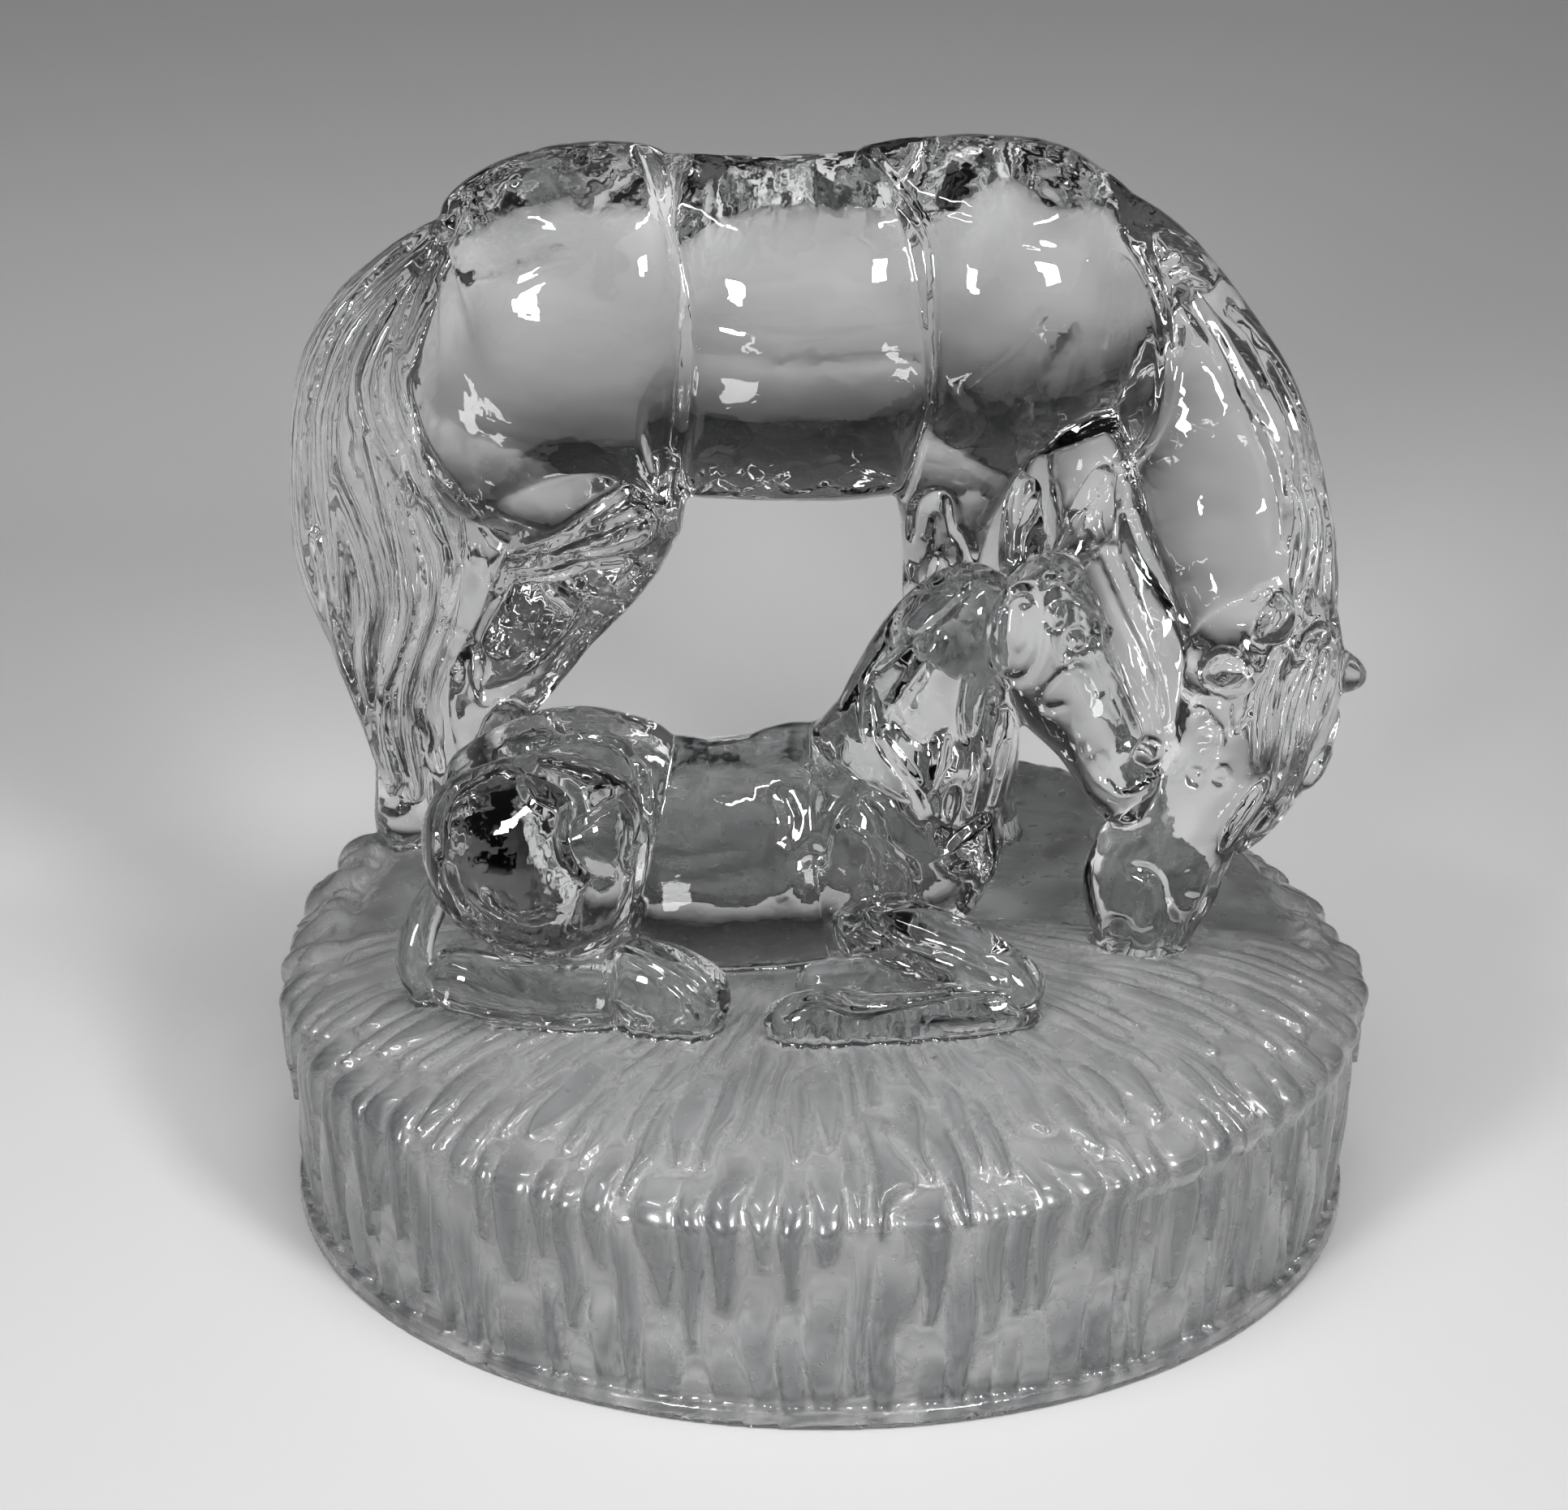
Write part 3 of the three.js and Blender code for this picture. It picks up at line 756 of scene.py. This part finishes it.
def drop_at(place):
    x, y, z = place
    run = z - hypot(x, y)
    around = Vector((x, y, 0)).normalized() * shoulder_radius
    lean = noise.noise(around / column_wave)
    lean += 0.5 * noise.noise(around / blade_wave + Vector((0, 0, run / blade_rise)))
    across = atan2(y, x) / tau * columns + lean_depth * lean
    column = floor(across)
    chance = 0.5 + 0.5 * noise.cell(Vector((column % columns + 0.5, 0.5, 0.5)))
    along = run / drop_length * (0.75 + 0.6 * chance) + 7 * chance
    row = floor(along)
    half_width = min(1, (along - row) / drop_point) ** 0.6 + 0.02
    from_middle = min(1, abs(2 * (across - column) - 1) / half_width)
    own = 0.5 + 0.5 * noise.cell(Vector((column % columns + 0.5, row + 0.5, 3.5)))
    return sqrt(1 - from_middle ** 2) * ease(row + 1 - along, 0, drop_fade) * (0.7 + 0.3 * own), own


def grass_height(place):
    x, y, z = place
    radius = hypot(x, y)
    if radius < 0.01 or z < foot_rise + foot_step / 2:
        return 0.0
    grass = drop_depth * (drop_at(place)[0] - 1.05) * (1 - 0.5 * ease(z, 0.027, 0.033))
    plateau = ease(y, -0.003, -0.0015) * ease(radius, 0.0575, 0.0555) * ease(z, 0.026, 0.027)
    rough = noise.noise(place / rim_grain)
    rim = ease(radius, 0.0535, 0.057) * ease(z, 0.021, 0.026) * ease(y, -0.012, 0.002)
    swell = ease(z, shoulder_rise, shoulder_rise + 0.003)
    swell *= rear_swell * max(0, cos(2 * (atan2(y, x) - rear_turn))) * (1 - plateau)
    return (1 - plateau) * ease(radius, 0.016, 0.03) * grass + rim_depth * rim * (rough - 0.15) + swell


for number, place in enumerate(places):
    spot, facing, face, reach = turf_tree.find_nearest(place)
    on_turf = 1 - ease(reach, turf_skin, turf_skin_end)
    if on_turf > 0:
        raised[number] += on_turf * grass_height(place)
    if on_turf < 1:
        wave = noise.noise(place / wave_length) + 0.4 * noise.noise(place / wave_length * 2.3)
        wave += 0.2 * noise.noise(place / wave_length * 3.7)
        raised[number] += (1 - on_turf) * wave_depth * wave
for corner, facing, height in zip(mesh.vertices, facings, raised):
    corner.co += facing * height

# The heads keep a finer skin than the plain parts when the casting is thinned.
fine_part_hold = 0.000004
foal_head = on_figure(46, -13, 40)
foal_head_reach = 0.017
mare_head = on_figure(76, -13, 28)
mare_head_reach = 0.026


def is_fine(place):
    return (place - foal_head).length < foal_head_reach or (place - mare_head).length < mare_head_reach


# The foot stands on a plain ring, and the ground face within it is a hair higher.
ring_width = 0.0017
ground_rise = 0.0003
most_faces = 197000
for corner in mesh.vertices:
    if corner.co.z < grain:
        inside = hypot(corner.co.x, corner.co.y) < foot_radius - ring_width
        corner.co.z = ground_rise if inside else 0.0
faces = len(mesh.polygons) * 2
plain_parts = figurine.vertex_groups.new(name="plain_parts")
plain_parts.add(list(range(len(places))), 1.0, "REPLACE")
fine_parts = [number for number, place in enumerate(places) if is_fine(place)]
plain_parts.add(fine_parts, 0.5, "REPLACE")
finished_by(
    "DECIMATE", decimate_type="COLLAPSE", ratio=most_faces / faces,
    vertex_group="plain_parts", vertex_group_factor=fine_part_hold,
)
figurine.vertex_groups.clear()
for face in figurine.data.polygons:
    face.use_smooth = True
# Painted light: this value is high along the middle of each drop and low in the grooves round it, and it is halved
# towards the top of the turf. The satin grass turns it into pale grooves, a paler top and greyer drops.
painted_groove_light = figurine.data.attributes.new("painted_groove_light", "FLOAT", "POINT")
for number, corner in enumerate(figurine.data.vertices):
    drop, own = drop_at(corner.co)
    painted_groove_light.data[number].value = drop * (0.8 + 0.2 * own) * (1 - 0.5 * ease(corner.co.z, 0.024, 0.032))


# Cast lead crystal is clear and very faintly rippled. The underside is frosted, and the grass is
# satin, with painted light in its colour: white in the grooves and greyer along the drops.
crystal = bpy.data.materials.new("crystal")
crystal.use_nodes = True
shader = crystal.node_tree.nodes["Principled BSDF"]
shader.inputs["Base Color"].default_value = (0.985, 0.99, 0.99, 1)
shader.inputs["Roughness"].default_value = 0.02
shader.inputs["IOR"].default_value = 1.53
shader.inputs["Transmission Weight"].default_value = 1.0


def texture_of(material, scale, detail):
    nodes = material.node_tree.nodes
    links = material.node_tree.links
    place = nodes.new("ShaderNodeTexCoord")
    grain_of = nodes.new("ShaderNodeTexNoise")
    grain_of.inputs["Scale"].default_value = scale
    grain_of.inputs["Detail"].default_value = detail
    links.new(place.outputs["Object"], grain_of.inputs["Vector"])
    return grain_of.outputs["Fac"]


def between(material, factor, low_end, low_colour, high_end, high_colour):
    ramp = material.node_tree.nodes.new("ShaderNodeValToRGB")
    ramp.color_ramp.elements[0].position = low_end
    ramp.color_ramp.elements[0].color = low_colour
    ramp.color_ramp.elements[1].position = high_end
    ramp.color_ramp.elements[1].color = high_colour
    material.node_tree.links.new(factor, ramp.inputs["Fac"])
    return ramp.outputs["Color"]


def raised_by(material, factor, depth):
    bump = material.node_tree.nodes.new("ShaderNodeBump")
    bump.inputs["Distance"].default_value = depth
    material.node_tree.links.new(factor, bump.inputs["Height"])
    shader = material.node_tree.nodes["Principled BSDF"]
    material.node_tree.links.new(bump.outputs["Normal"], shader.inputs["Normal"])


raised_by(crystal, texture_of(crystal, 300, 2), 0.00008)

frosted = bpy.data.materials.new("frosted_underside")
frosted.use_nodes = True
shader = frosted.node_tree.nodes["Principled BSDF"]
shader.inputs["Roughness"].default_value = 0.9
shader.inputs["Specular IOR Level"].default_value = 0.0
mottle = between(
    frosted, texture_of(frosted, 150, 3), 0.38, (0.04, 0.041, 0.043, 1), 0.62, (0.34, 0.345, 0.35, 1),
)
frosted.node_tree.links.new(mottle, shader.inputs["Base Color"])

satin = bpy.data.materials.new("satin_grass")
satin.use_nodes = True
shader = satin.node_tree.nodes["Principled BSDF"]
shader.inputs["IOR"].default_value = 1.53
shader.inputs["Transmission Weight"].default_value = 0.9
shader.inputs["Coat Weight"].default_value = 0.6
shader.inputs["Coat Roughness"].default_value = 0.04
# Painted light: the grass colour is white in the grooves between the drops and grey along them.
groove_light = satin.node_tree.nodes.new("ShaderNodeAttribute")
groove_light.attribute_name = "painted_groove_light"
colour = between(satin, groove_light.outputs["Fac"], 0.15, (1, 1, 1, 1), 0.7, (0.45, 0.46, 0.47, 1))
satin.node_tree.links.new(colour, shader.inputs["Base Color"])
haze = between(satin, texture_of(satin, 400, 4), 0.35, (0.16, 0.16, 0.16, 1), 0.65, (0.3, 0.3, 0.3, 1))
satin.node_tree.links.new(haze, shader.inputs["Roughness"])

figurine.data.materials.clear()
figurine.data.materials.append(crystal)
figurine.data.materials.append(frosted)
figurine.data.materials.append(satin)
satin_reach = 0.003
clear_reach = 0.0005
for face in figurine.data.polygons:
    low_down = face.center.z < 2 * ground_rise
    if turf_tree.find_nearest(face.center)[3] < satin_reach and not low_down:
        face.material_index = 2 if horses_tree.find_nearest(face.center)[3] > clear_reach else 0
    if face.normal.z < -0.9 and low_down and face.center.xy.length < foot_radius - ring_width:
        face.material_index = 1
        face.use_smooth = False

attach(figurine, "root")
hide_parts("mare_and_foal")


# The pale floor and the soft lights of a small product studio.
floor_form = bmesh.new()
floor_gap = 0.0002
floor_reach = 3
bmesh.ops.create_grid(
    floor_form, x_segments=1, y_segments=1, size=floor_reach, matrix=Matrix.Translation((0, 0, -floor_gap)),
)
floor_mesh = bpy.data.meshes.new("studio_floor")
floor_form.to_mesh(floor_mesh)
floor_form.free()
studio_floor = bpy.data.objects.new("studio_floor", floor_mesh)
bpy.context.scene.collection.objects.link(studio_floor)
paper = bpy.data.materials.new("studio_paper")
paper.use_nodes = True
shader = paper.node_tree.nodes["Principled BSDF"]
shader.inputs["Base Color"].default_value = (0.36, 0.36, 0.36, 1)
shader.inputs["Roughness"].default_value = 0.8
floor_mesh.materials.append(paper)

world = bpy.data.worlds.new("studio_room")
bpy.context.scene.world = world
world.use_nodes = True
sky = world.node_tree.nodes["Background"]
sky_place = world.node_tree.nodes.new("ShaderNodeTexCoord")
sky_axes = world.node_tree.nodes.new("ShaderNodeSeparateXYZ")
sky_ramp = world.node_tree.nodes.new("ShaderNodeValToRGB")
sky_ramp.color_ramp.elements[0].color = (0.14, 0.142, 0.145, 1)
sky_ramp.color_ramp.elements[1].color = (1, 1, 1, 1)
world.node_tree.links.new(sky_place.outputs["Generated"], sky_axes.inputs["Vector"])
world.node_tree.links.new(sky_axes.outputs["Z"], sky_ramp.inputs["Fac"])
world.node_tree.links.new(sky_ramp.outputs["Color"], sky.inputs["Color"])
sky.inputs["Strength"].default_value = 0.12


def softbox(name, place, width, height, power, spread):
    light = bpy.data.lights.new(name, "AREA")
    light.shape = "RECTANGLE"
    light.size = width
    light.size_y = height
    light.energy = power
    light.spread = radians(spread)
    lamp = bpy.data.objects.new(name, light)
    lamp.location = place
    lamp.rotation_euler = (Vector((0, 0, 0.06)) - Vector(place)).to_track_quat("-Z", "Y").to_euler()
    bpy.context.scene.collection.objects.link(lamp)
    return lamp


softbox("left_softbox", (-0.35, -0.66, 0.36), 0.14, 0.17, 1.5, 90)
softbox("right_softbox", (0.32, -0.6, 0.48), 0.14, 0.17, 1.5, 90)
softbox("left_tube", (-0.34, -0.32, 0.88), 0.36, 0.03, 0.8, 140)
softbox("right_tube", (0.34, -0.32, 0.88), 0.36, 0.03, 0.8, 140)
overhead = softbox("overhead_softbox", (0.0, -0.2, 0.85), 0.45, 0.45, 0.7, 50)
overhead.visible_glossy = False
overhead.visible_transmission = False

# The camera stands where the photograph was taken from.
camera_data = bpy.data.cameras.new("photo_camera")
camera_data.sensor_width = 36
camera_data.lens = focal_pixels / photo_width * camera_data.sensor_width
camera = bpy.data.objects.new("photo_camera", camera_data)
camera.location = eye
camera.rotation_euler = camera_turn.to_euler()
bpy.context.scene.collection.objects.link(camera)
bpy.context.scene.camera = camera

bpy.context.scene.cycles.max_bounces = 16
bpy.context.scene.cycles.transmission_bounces = 16
bpy.context.scene.view_settings.view_transform = "Standard"
